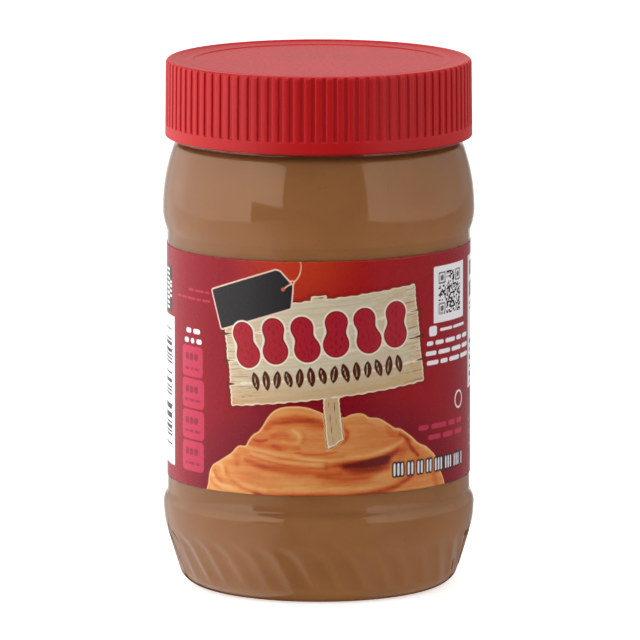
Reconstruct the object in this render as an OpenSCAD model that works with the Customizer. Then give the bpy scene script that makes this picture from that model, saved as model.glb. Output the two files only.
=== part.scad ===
// Wide-mouth peanut butter jar: clear moulded jar, ribbed screw cap, wrap label and contents.
// Millimetres, +Z up. The origin is the centre of the standing ring, on the surface it stands on.

/* [Jar body] */
// Diameter over the two bulges
body_d = 75; // [62.5:0.5:100]
// Thickness of the clear wall
wall = 0.9; // [0.6:0.05:1.2]
// Height of the lower bulge's widest line
lower_bulge_z = 19.8; // [16.5:0.1:30]
// Height of the upper bulge's widest line
upper_bulge_z = 91.2; // [60:0.1:140]
// How far the label panel lies inside the bulges
panel_depth = 1.08; // [0.6:0.02:2]
// Slope of the taper above the heel, from upright
taper = 17; // [12:0.5:22]
// Radius of the heel
heel_r = 5.7; // [4:0.1:7]
// Height of the dome under the base
push_up = 3.2; // [1.5:0.1:3.6]
// Height of the shoulder, from the upper bulge to where it turns in to the neck
shoulder_h = 15; // [10:0.5:20]

/* [Flutes] */
// Number of flutes round the taper
flute_count = 36; // [12:1:36]
// Width of a flute
flute_w = 5; // [3:0.1:5.2]
// Depth of a flute
flute_depth = 0.4; // [0.2:0.05:0.5]
// Lean of the flutes, from upright
flute_lean = 24; // [0:1:35]

/* [Neck and thread] */
// How far the neck lies inside the bulges
neck_inset = 3.8; // [3.2:0.1:4.8]
// Height of the neck, from the shoulder to the rim
neck_h = 17; // [14:0.5:24]
// Height of the thread's ridge over the neck
thread_h = 1; // [0.6:0.05:1.2]
// Rise of the thread in one turn
thread_pitch = 4.23; // [3.6:0.01:5.2]
// Turns of thread on the neck, and in the cap
thread_turns = 1.25; // [0.8:0.05:1.6]
// Gap between a thread's crest and the wall that it faces
thread_gap = 0.35; // [0.2:0.05:0.5]
// Gap between the flanks of the two threads with the cap on
flank_gap = 0.12; // [0.05:0.01:0.3]

/* [Cap] */
// Thickness of the cap's skirt at its foot
cap_wall = 1.85; // [1.5:0.05:2.6]
// Thickness of the cap's top
cap_plate = 1.3; // [0.8:0.05:2.2]
// How much narrower the cap is at its top than at its foot, on the radius
cap_draft = 0.2; // [0:0.05:0.5]
// Depth of the dished top below the rim
dish_depth = 0.85; // [0.4:0.05:1.5]
// Distance from the cap's side to the edge of the flat disc
disc_inset = 6.1; // [4:0.1:10]
// Number of ribs round the cap
rib_count = 88; // [40:1:96]
// Width of the groove between two ribs
groove_w = 1.25; // [0.8:0.05:1.5]
// Depth of the grooves
groove_depth = 0.35; // [0.2:0.05:0.5]
// How far the ribs stand back from the band over them
rib_inset = 0.05; // [0.02:0.01:0.15]
// Height of the plain band under the ribs
foot_band = 3; // [2:0.1:5]
// Height of the plain band over the ribs
top_band = 1.5; // [1.2:0.1:3]
// Gap between the shoulder and the cap's foot
skirt_gap = 0.6; // [0.3:0.1:2]
// Gap between the rim and the underside of the cap
seal_gap = 0.05; // [0.02:0.01:0.2]

/* [Label] */
// Thickness of the label
label_t = 0.12; // [0.08:0.01:0.2]
// Gap of glue between the label and the panel
glue_gap = 0.03; // [0.02:0.01:0.1]
// Plain panel left under the label
label_low_margin = 3.8; // [1:0.1:8]
// Plain panel left over the label
label_top_margin = 2.4; // [1:0.1:8]
// Width of the lap where the label's ends meet at the back
lap_w = 8; // [3:0.5:15]

/* [Contents] */
// Gap between the contents and the wall
fill_gap = 0.05; // [0.02:0.01:0.2]
// Free height between the contents and the rim
headspace = 3; // [1:0.5:3.5]

/* [Hidden] */
$fn = 96;

// Radii of the bends in the jar's outline
ring_r = 2;
ring_flat = 1.2;
taper_blend_r = 25;
low_step_r = 4.2;
top_step_r = 13;
panel_fillet_r = 1.5;
shoulder_r = 45;
neck_round_r = 1.8;
neck_fillet_r = 1.2;
rim_r = 0.3;

bulge_r = body_d / 2;
panel_r = bulge_r - panel_depth;
neck_r = bulge_r - neck_inset;

// The taper runs from the heel up to the blend of the lower bulge
taper_top = [bulge_r - taper_blend_r * (1 - cos(taper)), lower_bulge_z - taper_blend_r * sin(taper)];
heel_x = taper_top.x - (taper_top.y - heel_r * (1 - sin(taper))) * tan(taper) - heel_r * cos(taper);

// The dome meets the rounded inner edge of the standing ring without a corner
ring_x = heel_x - ring_flat;
dome_reach = (pow(ring_x, 2) + pow(push_up, 2)) / (2 * push_up);
dome_r = dome_reach - ring_r;
dome_a = atan(ring_x / (dome_reach - push_up));

// Each step into the panel is a round that meets a fillet without a corner
function step_rise(round_r, depth) =
    sqrt(pow(round_r + panel_fillet_r, 2) - pow(round_r + panel_fillet_r - depth, 2));
function step_angle(round_r, depth) = acos(1 - depth / (round_r + panel_fillet_r));
panel_low_z = lower_bulge_z + step_rise(low_step_r, panel_depth);
panel_top_z = upper_bulge_z - step_rise(top_step_r, panel_depth);

// The shoulder turns in to the neck through a round and a fillet
shoulder_a = asin(shoulder_h / shoulder_r);
neck_round_c = [bulge_r - shoulder_r, upper_bulge_z]
    + (shoulder_r - neck_round_r) * [cos(shoulder_a), sin(shoulder_a)];
neck_bend_a = acos((neck_r + neck_fillet_r - neck_round_c.x) / (neck_round_r + neck_fillet_r));
neck_low_z = neck_round_c.y + (neck_round_r + neck_fillet_r) * sin(neck_bend_a);
rim_z = neck_low_z + neck_h;

// The thread hangs from the top of the neck, and the cap's thread bears up against its underside
thread_foot = 2.3;
thread_crest = 1;
thread_sink = 0.3;
thread_top_drop = 3.6;
thread_low_z = rim_z - thread_top_drop - thread_turns * thread_pitch;
cap_thread_drop = thread_foot - (thread_foot - thread_crest) * (1 + thread_gap / thread_h) / 2 + flank_gap;

cap_in_r = neck_r + thread_h + thread_gap;
cap_foot_r = cap_in_r + cap_wall;
cap_top_r = cap_foot_r - cap_draft;
cap_low_z = neck_low_z + skirt_gap;
plate_low_z = rim_z + seal_gap;
cap_top_z = plate_low_z + cap_plate + dish_depth;
disc_r = cap_top_r - disc_inset;
rib_r = cap_top_r - rib_inset;
groove_r = rib_r - groove_depth;
waist_r = (groove_r + cap_in_r) / 2;
cap_edge_r = 1;
cap_lip_r = 0.5;
disc_step = 0.15;
inner_fillet = 0.6;

label_r = panel_r + glue_gap;
label_low_z = panel_low_z + label_low_margin;
label_h = panel_top_z - label_top_margin - label_low_z;

// Points of an arc, from one angle to another
function arc(centre, r, from, to, n) =
    [for (i = [0:n]) let (a = from + (to - from) * i / n) centre + r * [cos(a), sin(a)]];

function reversed(points) = [for (i = [len(points) - 1:-1:0]) points[i]];

// The same points, with each repeated one left out
function joined(points) =
    [for (i = [0:len(points) - 1]) if (i == 0 || norm(points[i] - points[i - 1]) > 0.001) points[i]];

// Outline of the jar at a distance inside its outer surface, from the axis under the base to the neck.
// Every bend keeps its centre, so that the outlines of the wall and the contents stay parallel.
function outline(inset) = joined(concat(
    arc([0, push_up - dome_r], dome_r + inset, 90, 90 - dome_a, 8),
    arc([ring_x, ring_r], ring_r - inset, -90 - dome_a, -90, 3),
    arc([heel_x, heel_r], heel_r - inset, -90, -taper, 10),
    arc([bulge_r - taper_blend_r, lower_bulge_z], taper_blend_r - inset, -taper, 0, 6),
    arc([bulge_r - low_step_r, lower_bulge_z], low_step_r - inset, 0, step_angle(low_step_r, panel_depth), 5),
    arc([panel_r + panel_fillet_r, panel_low_z], panel_fillet_r + inset,
        180 + step_angle(low_step_r, panel_depth), 180, 5),
    arc([panel_r + panel_fillet_r, panel_top_z], panel_fillet_r + inset,
        180, 180 - step_angle(top_step_r, panel_depth), 4),
    arc([bulge_r - top_step_r, upper_bulge_z], top_step_r - inset, -step_angle(top_step_r, panel_depth), 0, 6),
    arc([bulge_r - shoulder_r, upper_bulge_z], shoulder_r - inset, 0, shoulder_a, 8),
    arc(neck_round_c, neck_round_r - inset, shoulder_a, neck_bend_a, 4),
    arc([neck_r + neck_fillet_r, neck_low_z], neck_fillet_r + inset, 180 + neck_bend_a, 180, 5)
));

// Helical ridge from one radius to another, sunk a little into the wall that carries it
module thread(root, crest, low_z) {
    outward = sign(crest - root);
    steps = 60;
    run_out = 4;
    rings = round(thread_turns * steps);
    points = [
        for (i = [0:rings])
            let (
                a = 360 * i / steps,
                z = low_z + thread_pitch * i / steps,
                fade = max(0.1, min(1, i / run_out, (rings - i) / run_out)),
                foot_r = root - outward * thread_sink,
                crest_r = root + (crest - root) * fade
            )
            for (p = [
                [foot_r, -thread_foot / 2],
                [crest_r, -thread_crest / 2],
                [crest_r, thread_crest / 2],
                [foot_r, thread_foot / 2]
            ])
                [p.x * cos(a), p.x * sin(a), z + p.y]
    ];
    sides = [
        for (i = [0:rings - 1], k = [0:3])
            let (a = 4 * i, b = 4 * (i + 1), next = (k + 1) % 4)
            for (face = [[a + k, a + next, b + next], [a + k, b + next, b + k]])
                face
    ];
    last = 4 * rings;
    faces = concat([[3, 2, 1, 0]], sides, [[last, last + 1, last + 2, last + 3]]);
    polyhedron(points, outward > 0 ? faces : [for (f = faces) reversed(f)]);
}

module jar_shell() {
    neck_in_r = neck_r - wall;
    rim = concat(
        arc([neck_r - rim_r, rim_z - rim_r], rim_r, 0, 90, 3),
        arc([neck_in_r + rim_r, rim_z - rim_r], rim_r, 90, 180, 3)
    );
    rotate_extrude()
        polygon(joined(concat(outline(0), rim, reversed(outline(wall)))));
}

// Slanted flutes all round the taper. Each is cut by a round bar that lies along the taper, so that the
// cut fades out where the heel and the bulge curve away from it.
module flutes() {
    mid_z = (heel_r + taper_top.y) / 2;
    mid_r = taper_top.x - (taper_top.y - mid_z) * tan(taper);
    r = (flute_w * flute_w / 4 + flute_depth * flute_depth) / (2 * flute_depth);
    for (i = [0:flute_count - 1])
        rotate([0, 0, 360 * i / flute_count])
            translate([mid_r, 0, mid_z])
                rotate([0, taper, 0])
                    translate([r - flute_depth, 0, 0])
                        rotate([flute_lean, 0, 0])
                            cylinder(r = r, h = 2 * taper_top.y, center = true);
}

module jar() {
    color([0.85, 0.8, 0.74, 0.35]) {
        difference() {
            jar_shell();
            flutes();
        }
        thread(neck_r, neck_r + thread_h, thread_low_z);
    }
}

// Skirt, dished top and rounded edges of the cap, waisted in where the ring of ribs goes
module cap_body() {
    band_low_z = cap_low_z + foot_band;
    band_top_z = cap_top_z - top_band;
    outer = concat(
        arc([cap_foot_r - cap_lip_r, cap_low_z + cap_lip_r], cap_lip_r, -90, 0, 4),
        [[cap_foot_r, band_low_z], [waist_r, band_low_z], [waist_r, band_top_z], [cap_top_r, band_top_z]],
        arc([cap_top_r - cap_edge_r, cap_top_z - cap_edge_r], cap_edge_r, 0, 90, 5)
    );
    dish = [
        [disc_r + disc_step, cap_top_z - dish_depth + disc_step],
        [disc_r, cap_top_z - dish_depth],
        [0, cap_top_z - dish_depth]
    ];
    inner = concat(
        [[0, plate_low_z]],
        arc([cap_in_r - inner_fillet, plate_low_z - inner_fillet], inner_fillet, 90, 0, 4),
        arc([cap_in_r + cap_lip_r, cap_low_z + cap_lip_r], cap_lip_r, 180, 270, 4)
    );
    rotate_extrude()
        polygon(joined(concat(outer, dish, inner)));
}

// Ribs of the grip, as one ring that fills the waist of the cap
module ribs() {
    pitch = 360 / rib_count;
    groove_a = groove_w / rib_r * 180 / PI;
    side_a = groove_a / 4;
    outline = [
        for (i = [0:rib_count - 1])
            for (p = [
                [groove_a / 2, rib_r],
                [pitch - groove_a / 2, rib_r],
                [pitch - groove_a / 2 + side_a, groove_r],
                [pitch + groove_a / 2 - side_a, groove_r]
            ])
                p.y * [cos(pitch * i + p.x), sin(pitch * i + p.x)]
    ];
    translate([0, 0, cap_low_z + foot_band])
        linear_extrude(cap_top_z - top_band - cap_low_z - foot_band)
            difference() {
                polygon(outline);
                circle((waist_r + cap_in_r) / 2);
            }
}

module cap() {
    color([0.7, 0.09, 0.11]) {
        cap_body();
        ribs();
        thread(cap_in_r, cap_in_r - thread_h, thread_low_z - cap_thread_drop);
    }
}

// Sleeve of paper round the panel, with its ends lapped at the back
module label() {
    color([0.62, 0.1, 0.14]) {
        rotate_extrude()
            translate([label_r, label_low_z])
                square([label_t, label_h]);
        rotate([0, 0, 90])
            rotate_extrude(angle = lap_w / (label_r + label_t) * 180 / PI)
                translate([label_r, label_low_z])
                    square([2 * label_t, label_h]);
    }
}

// Contents up to just under the rim
module peanut_butter() {
    top_z = rim_z - headspace;
    inner = outline(wall + fill_gap);
    color([0.62, 0.42, 0.24])
        rotate_extrude()
            polygon(concat(inner, [[neck_r - wall - fill_gap, top_z], [0, top_z]]));
}

jar();
cap();
label();
peanut_butter();
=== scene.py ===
"""Looks of a peanut butter jar: clear wall, contents, ribbed screw cap and printed wrap label."""
import math

import bpy
import numpy as np
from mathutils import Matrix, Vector


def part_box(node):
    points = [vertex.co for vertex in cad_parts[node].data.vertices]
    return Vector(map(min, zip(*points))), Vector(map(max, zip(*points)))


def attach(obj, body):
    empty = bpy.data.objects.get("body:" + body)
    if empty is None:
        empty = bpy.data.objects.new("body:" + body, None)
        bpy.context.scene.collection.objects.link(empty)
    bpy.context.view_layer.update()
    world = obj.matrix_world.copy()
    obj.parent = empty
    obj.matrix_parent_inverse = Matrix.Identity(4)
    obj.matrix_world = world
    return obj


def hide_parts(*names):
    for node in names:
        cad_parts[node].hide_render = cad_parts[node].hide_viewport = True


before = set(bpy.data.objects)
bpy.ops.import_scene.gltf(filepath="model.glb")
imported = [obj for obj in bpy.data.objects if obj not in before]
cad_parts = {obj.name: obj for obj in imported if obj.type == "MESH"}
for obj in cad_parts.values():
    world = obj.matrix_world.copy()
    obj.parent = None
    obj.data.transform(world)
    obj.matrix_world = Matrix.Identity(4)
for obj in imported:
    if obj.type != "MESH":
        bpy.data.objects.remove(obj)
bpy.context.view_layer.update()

MM = 0.001

# Sizes that come from the frame, in millimetres
BULGE_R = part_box("jar")[1][0] / MM
RIM_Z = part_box("jar")[1][2] / MM
FILL_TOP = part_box("peanut_butter")[1][2] / MM
CAP_FOOT_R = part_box("cap")[1][0] / MM
CAP_LOW, CAP_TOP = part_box("cap")[0][2] / MM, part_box("cap")[1][2] / MM
LABEL_LOW, LABEL_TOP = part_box("label")[0][2] / MM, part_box("label")[1][2] / MM
LABEL_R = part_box("label")[1][0] / MM

# Sizes of the jar, in millimetres
WALL = 0.9
REACH = 0.45                            # how far the peanut butter goes into the wall
PANEL_DEPTH = 1.08
PANEL_LOW, PANEL_HIGH = 23.0, 86.0      # where the wall behind the label is plain
LOWER_BULGE_Z = 19.8
UPPER_BULGE_Z = 91.2
TAPER = math.radians(17)
HEEL_R = 5.7
PUSH_UP = 3.2
PLAIN_FOOT, PLAIN_NECK = 0.6, 106.0     # flutes and seams lie between these heights
NECK_R = BULGE_R - 3.8
MOULD_SEAM = math.radians(26.7)
FLUTES, FLUTE_COLUMNS = 36, 12
FLUTE_LEAN = math.radians(24)
FLUTE_SPAN = (4.0, 14.2)
THREAD_H, THREAD_PITCH, THREAD_TURNS = 1.0, 4.23, 1.25
THREAD_LOW = RIM_Z - 3.6 - THREAD_TURNS * THREAD_PITCH

# Sizes of the cap, in millimetres
RIBS, GROOVE_DEPTH, RIB_CROWN = 88, 0.38, 0.06      # the crown rounds the top of each rib
CAP_WALL, CAP_DRAFT, CAP_RIM_R = 1.85, 0.2, 0.9
FOOT_BAND = 2.95
PLATE, DISH = 1.3, 0.72
THREAD_GAP, THREAD_DROP = 0.35, 1.54                # from the neck's thread, outwards and down


# ---------------------------------------------------------------- surfaces

def new_mesh(name, points, faces):
    """A smooth-shaded mesh object from points in millimetres and lists of corner numbers."""
    mesh = bpy.data.meshes.new(name)
    mesh.from_pydata((np.asarray(points) * MM).tolist(), [], faces)
    mesh.polygons.foreach_set("use_smooth", np.ones(len(mesh.polygons), bool))
    mesh.update()
    piece = bpy.data.objects.new(name, mesh)
    bpy.context.collection.objects.link(piece)
    return piece


def turned(radius, height, angle):
    """Points at the given radius and height, turned by angle from the front (-Y) towards +X."""
    return np.stack([radius * np.sin(angle), -radius * np.cos(angle), height], axis=-1)


def ring_faces(rows, columns):
    """Quads between rings of points, each ring closing on itself."""
    i, j = np.meshgrid(np.arange(rows - 1), np.arange(columns), indexing="ij")
    k = (j + 1) % columns
    low, high = i * columns, (i + 1) * columns
    return np.stack([low + j, low + k, high + k, high + j], axis=-1).reshape(-1, 4).tolist()


def sheet_faces(rows, columns):
    """Quads between rows of points that don't close on themselves."""
    i, j = np.meshgrid(np.arange(rows - 1), np.arange(columns - 1), indexing="ij")
    low, high = i * columns + j, (i + 1) * columns + j
    return np.stack([low, low + 1, high + 1, high], axis=-1).reshape(-1, 4).tolist()


def lathe(radius, height, angles):
    """Closed surface of revolution. radius and height are rows by columns, and the first and last
    rows lie on the axis, where each becomes one point. The solid is on the left of the path."""
    rows, columns = radius.shape
    body = turned(radius[1:-1], height[1:-1], angles[None, :]).reshape(-1, 3)
    poles = [[0, 0, height[0, 0]], [0, 0, height[-1, 0]]]
    first, last = np.full(columns, len(body)), np.full(columns, len(body) + 1)
    here = np.arange(columns)
    after = (here + 1) % columns
    top = (rows - 3) * columns
    faces = ring_faces(rows - 2, columns)
    faces += np.stack([first, after, here], axis=1).tolist()
    faces += np.stack([last, top + here, top + after], axis=1).tolist()
    return np.concatenate([body, poles]), faces


def helix_ridge(root, crest, low_z):
    """A screw thread: a trapezoid carried up a helix, z = low + pitch * turn. It rises from nothing over
    the first few steps and sinks back over the last few."""
    foot, top, sink = 2.3, 1.0, 0.3
    steps_a_turn, fade_steps, least = 72, 6, 0.05
    step = np.arange(round(THREAD_TURNS * steps_a_turn) + 1)
    turn = step / steps_a_turn
    fade = np.clip(np.minimum(step, step[::-1]) / fade_steps, least, 1)
    outward = np.sign(crest - root)
    buried = np.full(len(step), root - outward * sink)
    raised = root + (crest - root) * fade
    radius = np.stack([buried, raised, raised, buried], axis=1)
    lift = np.array([-foot, -top, top, foot])[None, :] / 2
    height = low_z + THREAD_PITCH * turn[:, None] + lift
    angle = (2 * np.pi * turn)[:, None] + np.zeros((1, 4))
    last = 4 * (len(step) - 1)
    faces = ring_faces(len(step), 4) + [[3, 2, 1, 0], [last, last + 1, last + 2, last + 3]]
    if outward < 0:
        faces = [face[::-1] for face in faces]
    return turned(radius, height, angle).reshape(-1, 3), faces


def merged(*parts):
    """Several point and face lists as one."""
    points, faces = [], []
    for p, f in parts:
        base = sum(len(q) for q in points)
        points.append(p)
        faces += [[c + base for c in face] for face in f]
    return np.concatenate(points), faces


def arc(centre, radius, start, end, count):
    """Points of an arc, angles in radians from the +r direction."""
    a = np.linspace(start, end, count)
    return np.stack([centre[0] + radius * np.cos(a), centre[1] + radius * np.sin(a)], axis=1)


def without_doubles(path):
    """The path without points that lie on the one before."""
    return path[np.concatenate([[True], np.hypot(*np.diff(path, axis=0).T) > 1e-4])]


def spaced(path, step):
    """The path with its straight stretches divided so that no step is longer than asked. Arcs keep
    their own points."""
    out = [path[:1]]
    for a, b in zip(path[:-1], path[1:]):
        n = max(1, math.ceil(np.hypot(*(b - a)) / step))
        out.append(a + (b - a) * (np.arange(1, n + 1) / n)[:, None])
    return without_doubles(np.concatenate(out))


def thinned(path):
    """The path with only one point in eight on the plain panel behind the label."""
    plain = (path[:, 1] >= PANEL_LOW) & (path[:, 1] <= PANEL_HIGH)
    return path[~plain | (np.arange(len(path)) % 8 == 0)]


def repeated(path, angles):
    """Radius and height of the path's points: a row for each point and a column for each angle."""
    return np.repeat(path[:, :1], len(angles), axis=1), np.repeat(path[:, 1:], len(angles), axis=1)


def outline(inset):
    """Half outline of the jar, inset by this much, from the axis under the base up to the neck. It is a
    chain of arcs that meet without corners, so an inset only changes their radii."""
    ring_r, flat, blend_r, low_r, top_r, fillet = 2, 1.2, 25, 4.2, 13, 1.5
    shoulder_r, shoulder_h, neck_round, neck_fillet = 45, 15, 1.8, 1.2
    taper_r = BULGE_R - blend_r * (1 - math.cos(TAPER))
    taper_z = LOWER_BULGE_Z - blend_r * math.sin(TAPER)
    heel_top = HEEL_R * (1 - math.sin(TAPER))
    heel_x = taper_r - (taper_z - heel_top) * math.tan(TAPER) - HEEL_R * math.cos(TAPER)
    ring_x = heel_x - flat
    dome_reach = (ring_x ** 2 + PUSH_UP ** 2) / (2 * PUSH_UP)
    dome_r = dome_reach - ring_r
    dome_a = math.atan(ring_x / (dome_reach - PUSH_UP))
    panel_r = BULGE_R - PANEL_DEPTH
    low_a = math.acos(1 - PANEL_DEPTH / (low_r + fillet))
    top_a = math.acos(1 - PANEL_DEPTH / (top_r + fillet))
    low_z = LOWER_BULGE_Z + (low_r + fillet) * math.sin(low_a)
    top_z = UPPER_BULGE_Z - (top_r + fillet) * math.sin(top_a)
    shoulder_a = math.asin(shoulder_h / shoulder_r)
    neck_c = (BULGE_R - shoulder_r + (shoulder_r - neck_round) * math.cos(shoulder_a),
              UPPER_BULGE_Z + (shoulder_r - neck_round) * math.sin(shoulder_a))
    neck_a = math.acos((NECK_R + neck_fillet - neck_c[0]) / (neck_round + neck_fillet))
    neck_z = neck_c[1] + (neck_round + neck_fillet) * math.sin(neck_a)
    half, full = math.pi / 2, math.pi
    return np.concatenate([
        arc((0, PUSH_UP - dome_r), dome_r + inset, half, half - dome_a, 8),
        arc((ring_x, ring_r), ring_r - inset, -half - dome_a, -half, 4),
        arc((heel_x, HEEL_R), HEEL_R - inset, -half, -TAPER, 14),
        arc((BULGE_R - blend_r, LOWER_BULGE_Z), blend_r - inset, -TAPER, 0, 12),
        arc((BULGE_R - low_r, LOWER_BULGE_Z), low_r - inset, 0, low_a, 8),
        arc((panel_r + fillet, low_z), fillet + inset, full + low_a, full, 8),
        arc((panel_r + fillet, top_z), fillet + inset, full, full - top_a, 6),
        arc((BULGE_R - top_r, UPPER_BULGE_Z), top_r - inset, -top_a, 0, 10),
        arc((BULGE_R - shoulder_r, UPPER_BULGE_Z), shoulder_r - inset, 0, shoulder_a, 14),
        arc(neck_c, neck_round - inset, shoulder_a, neck_a, 7),
        arc((NECK_R + neck_fillet, neck_z), neck_fillet + inset, full + neck_a, full, 7),
    ])


def ramp(x, low, high):
    """Smooth step from 0 at low to 1 at high."""
    t = np.clip((x - low) / (high - low), 0, 1)
    return t * t * (3 - 2 * t)


def flute_relief(height, angle):
    """Depth of the slanted flutes at each point. Each flute is a parabola across its lean, deeper on one
    side, with a rounded upper end, and it fades out at the heel."""
    mid_r, half_w, depth, lopsided = BULGE_R - 2.6, 2.75, 0.38, 0.5
    low, top = FLUTE_SPAN
    fade_low, fade_high = low - 2.2, low + 1.5
    mid = (low + top) / 2
    along = (height - mid) / math.cos(TAPER)
    around = angle * mid_r + along * math.tan(FLUTE_LEAN)
    pitch = 2 * np.pi * mid_r / FLUTES
    across = ((around / pitch + 0.5) % 1 - 0.5) * pitch * math.cos(FLUTE_LEAN)
    lengthwise = along / math.cos(FLUTE_LEAN) + across * math.sin(FLUTE_LEAN)
    past_end = np.maximum(lengthwise - (top - mid) / math.cos(FLUTE_LEAN) + half_w, 0)
    share = np.clip(1 - (across ** 2 + past_end ** 2) / half_w ** 2, 0, 1)
    tilt = 1 + lopsided * np.clip(across / half_w, -1, 1)
    return depth * share * tilt * ramp(height, fade_low, fade_high)


def seam_relief(angle):
    """Height of the two mould seams: narrow bell-shaped ridges on opposite sides."""
    ridge_h, ridge_w = 0.05, 0.12
    away = (angle - MOULD_SEAM + np.pi / 2) % np.pi - np.pi / 2
    return ridge_h * np.exp(-(away * BULGE_R / ridge_w) ** 2)


# ---------------------------------------------------------------- pieces

def jar_angles():
    """Even columns, with a few close ones at each mould seam."""
    count, clearance = FLUTES * FLUTE_COLUMNS, 0.0015
    even = np.arange(count) * 2 * np.pi / count
    close = np.array([-0.35, -0.2, -0.1, 0, 0.1, 0.2, 0.35]) / BULGE_R
    seams = np.concatenate([MOULD_SEAM + close, MOULD_SEAM + np.pi + close]) % (2 * np.pi)
    away = np.abs(even[:, None] - seams[None, :]).min(axis=1)
    return np.sort(np.concatenate([even[away > clearance], seams]))


def clear_wall():
    """The jar: the outline turned about the axis, with flutes and seams on its outside, a rounded rim,
    and a plain inside with half as many rows. The thread is a ridge round the neck."""
    rim_r, half = 0.3, math.pi / 2
    rim_z = RIM_Z - rim_r
    outer = thinned(spaced(outline(0), 0.7))
    path = without_doubles(np.concatenate([
        outer,
        arc((NECK_R - rim_r, rim_z), rim_r, 0, half, 5),
        arc((NECK_R - WALL + rim_r, rim_z), rim_r, half, math.pi, 5),
        outline(WALL)[::-2],
        [[0, PUSH_UP + WALL]],
    ]))
    angles = jar_angles()
    radius, height = repeated(path, angles)
    on_outside = (np.arange(len(path)) < len(outer))[:, None]
    on_body = on_outside & (height > PLAIN_FOOT) & (height < PLAIN_NECK)
    relief = seam_relief(angles)[None, :] - flute_relief(height, angles[None, :])
    shell = lathe(radius + np.where(on_body, relief, 0), height, angles)
    return new_mesh("jar_wall", *merged(shell, helix_ridge(NECK_R, NECK_R + THREAD_H, THREAD_LOW)))


def contents():
    """The peanut butter: the inside of the wall, grown a little into the wall so that no air shows, up to
    its level under the rim. It follows the flutes."""
    inset = WALL - REACH
    inner_r = NECK_R - inset
    top = [[inner_r, FILL_TOP - 0.6], [inner_r - 0.2, FILL_TOP - 0.15], [inner_r - 0.8, FILL_TOP],
           [inner_r * 0.6, FILL_TOP], [inner_r * 0.3, FILL_TOP], [0, FILL_TOP]]
    path = np.concatenate([thinned(spaced(outline(inset), 0.9)), top])
    count = FLUTES * 10
    angles = np.arange(count) * 2 * np.pi / count
    radius, height = repeated(path, angles)
    radius = radius - flute_relief(height, angles[None, :]) * (height > PLAIN_FOOT)
    return new_mesh("peanut_butter_fill", *lathe(radius, height, angles))


def cap_side_r(height):
    """Radius of the cap's side, which leans in by its draft from the foot to the top."""
    return CAP_FOOT_R - CAP_DRAFT * (height - CAP_LOW) / (CAP_TOP - CAP_LOW)


def cap_path():
    """Half section of the cap: from the axis along the inside, round the foot, up the side, over the
    rounded rim, down its inner slope, over the small bead round the disc and back to the axis."""
    in_r = CAP_FOOT_R - CAP_WALL
    top_r = CAP_FOOT_R - CAP_DRAFT
    disc_r, disc_z = top_r - 6.1, CAP_TOP - DISH
    plate_z = disc_z - PLATE
    low, high = CAP_LOW + FOOT_BAND, CAP_TOP - CAP_RIM_R
    foot_r, corner_r, half = 0.5, 0.6, math.pi / 2
    side_z = np.concatenate([
        CAP_LOW + np.array([0.5, 1.2, 2.0, 2.6]),
        low + np.array([-0.1, 0.0, 0.08, 0.2, 0.4, 0.7]),
        np.linspace(low + 2, high - 2, 6),
        high + np.array([-0.8, -0.3, -0.02]),
    ])
    slope = [(1.15, 0.03), (1.5, 0.13), (1.9, 0.27), (2.2, 0.33), (4, 0.46)]
    bead = [(0.4, 0.15), (0.25, 0.2), (0.05, 0.16), (-0.1, 0), (-0.6, 0)]
    return np.concatenate([
        [[0, plate_z], [in_r * 0.5, plate_z]],
        arc((in_r - corner_r, plate_z - corner_r), corner_r, half, 0, 4),
        [[in_r, plate_z - 3], [in_r, CAP_LOW + 3]],
        arc((in_r + foot_r, CAP_LOW + foot_r), foot_r, math.pi, 3 * half, 5),
        arc((CAP_FOOT_R - foot_r, CAP_LOW + foot_r), foot_r, -half, -0.1, 6),
        np.stack([cap_side_r(side_z), side_z], axis=1),
        arc((top_r - CAP_RIM_R, high), CAP_RIM_R, 0.1, half, 9),
        [[top_r - inward, CAP_TOP - down] for inward, down in slope],
        [[disc_r + outward, disc_z + up] for outward, up in bead],
        [[r, disc_z] for r in (20, 10, 0)],
    ])


def ribbed_cap():
    """The cap: its section turned about the axis. Over the grip the radius is held to the floor of a groove
    between one rib and the next. The grooves fade out at the smooth band, and run into the rounded rim.
    The columns are close together where a rib turns into a groove."""
    share = np.array([0, 0.12, 0.2, 0.245, 0.275, 0.305, 0.335, 0.37, 0.43])
    share = np.sort(np.concatenate([share, -share[1:], [0.5]]))
    angles = ((np.arange(RIBS)[:, None] + share[None, :]) * 2 * np.pi / RIBS).ravel()
    from_rib = np.abs((angles * RIBS / (2 * np.pi) + 0.5) % 1 - 0.5)
    cut = GROOVE_DEPTH * ramp(from_rib, 0.24, 0.345) + RIB_CROWN * ramp(from_rib, 0.0, 0.26)
    radius, height = repeated(cap_path(), angles)
    grip_low = CAP_LOW + FOOT_BAND
    floor = cap_side_r(height) - cut[None, :] * ramp(height, grip_low - 0.05, grip_low + 0.25)
    on_side = (radius > CAP_FOOT_R - CAP_WALL + 1.2) & (height > CAP_LOW + 0.4)
    radius = np.where(on_side, np.minimum(radius, floor), radius)
    thread_r = NECK_R + THREAD_H + THREAD_GAP
    thread = helix_ridge(thread_r, thread_r - THREAD_H, THREAD_LOW - THREAD_DROP)
    return new_mesh("screw_cap", *merged(lathe(radius, height, angles), thread))


# ---------------------------------------------------------------- label print

# Every shape of the print is a distance in millimetres from its edge, below zero inside it, at places
# (u, v): u is the way round the jar from the front, and v is the height. Shapes in one ink are joined
# by taking the smaller distance.

def leaning(u, v, lean, centre=(0, 0)):
    """Places along and across an axis that leans, measured from a centre: the places turned back by
    the lean."""
    c, s = math.cos(lean), math.sin(lean)
    x, y = u - centre[0], v - centre[1]
    return x * c + y * s, y * c - x * s


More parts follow.
